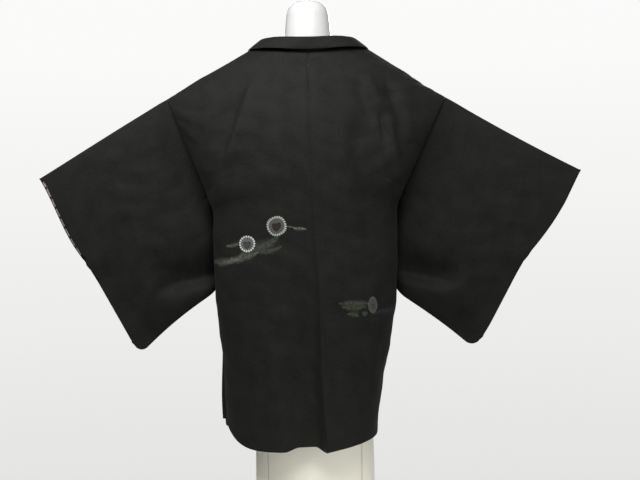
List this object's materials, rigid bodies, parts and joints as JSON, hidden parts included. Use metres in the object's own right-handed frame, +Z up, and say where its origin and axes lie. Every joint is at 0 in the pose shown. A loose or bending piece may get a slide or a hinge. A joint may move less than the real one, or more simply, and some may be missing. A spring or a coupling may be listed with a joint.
{
  "type": "haori jacket on limbless dress form",
  "caption": "Open-fronted haori jacket with wide hanging sleeves and a folded collar band, resting on a limbless dress form on a pole stand.",
  "frame": {"origin": "on the floor, at the middle of the stand base's underside", "axes": "+Z up along the pole; the jacket's back faces -Y and its open front +Y; +X is the wearer's right-hand side, as seen to the right from behind"},
  "size_m": [1.1641, 0.38, 1.477],
  "materials": {
    "black_crepe": "matt crepe weave with a soft sheen",
    "pale_lining": "smooth pale pinkish lining silk",
    "cream_jersey": "smooth knitted cover",
    "white_gloss": "glossy moulded cap",
    "pole_steel": "satin tube",
    "base_paint": "smooth white paint"
  },
  "bodies": {
    "root": {"body_left_back": "black_crepe", "body_left_front": "black_crepe", "body_right_back": "black_crepe", "body_right_front": "black_crepe", "gusset_left": "black_crepe", "gusset_right": "black_crepe", "sleeve_left": "black_crepe", "sleeve_right": "black_crepe", "collar": "black_crepe", "cuff_facing_left_back": "pale_lining", "cuff_facing_left_front": "pale_lining", "cuff_facing_right_back": "pale_lining", "cuff_facing_right_front": "pale_lining", "form_torso": "cream_jersey", "form_neck": "white_gloss", "stand_pole": "pole_steel", "stand_base": "base_paint"}
  },
  "joints": []
}
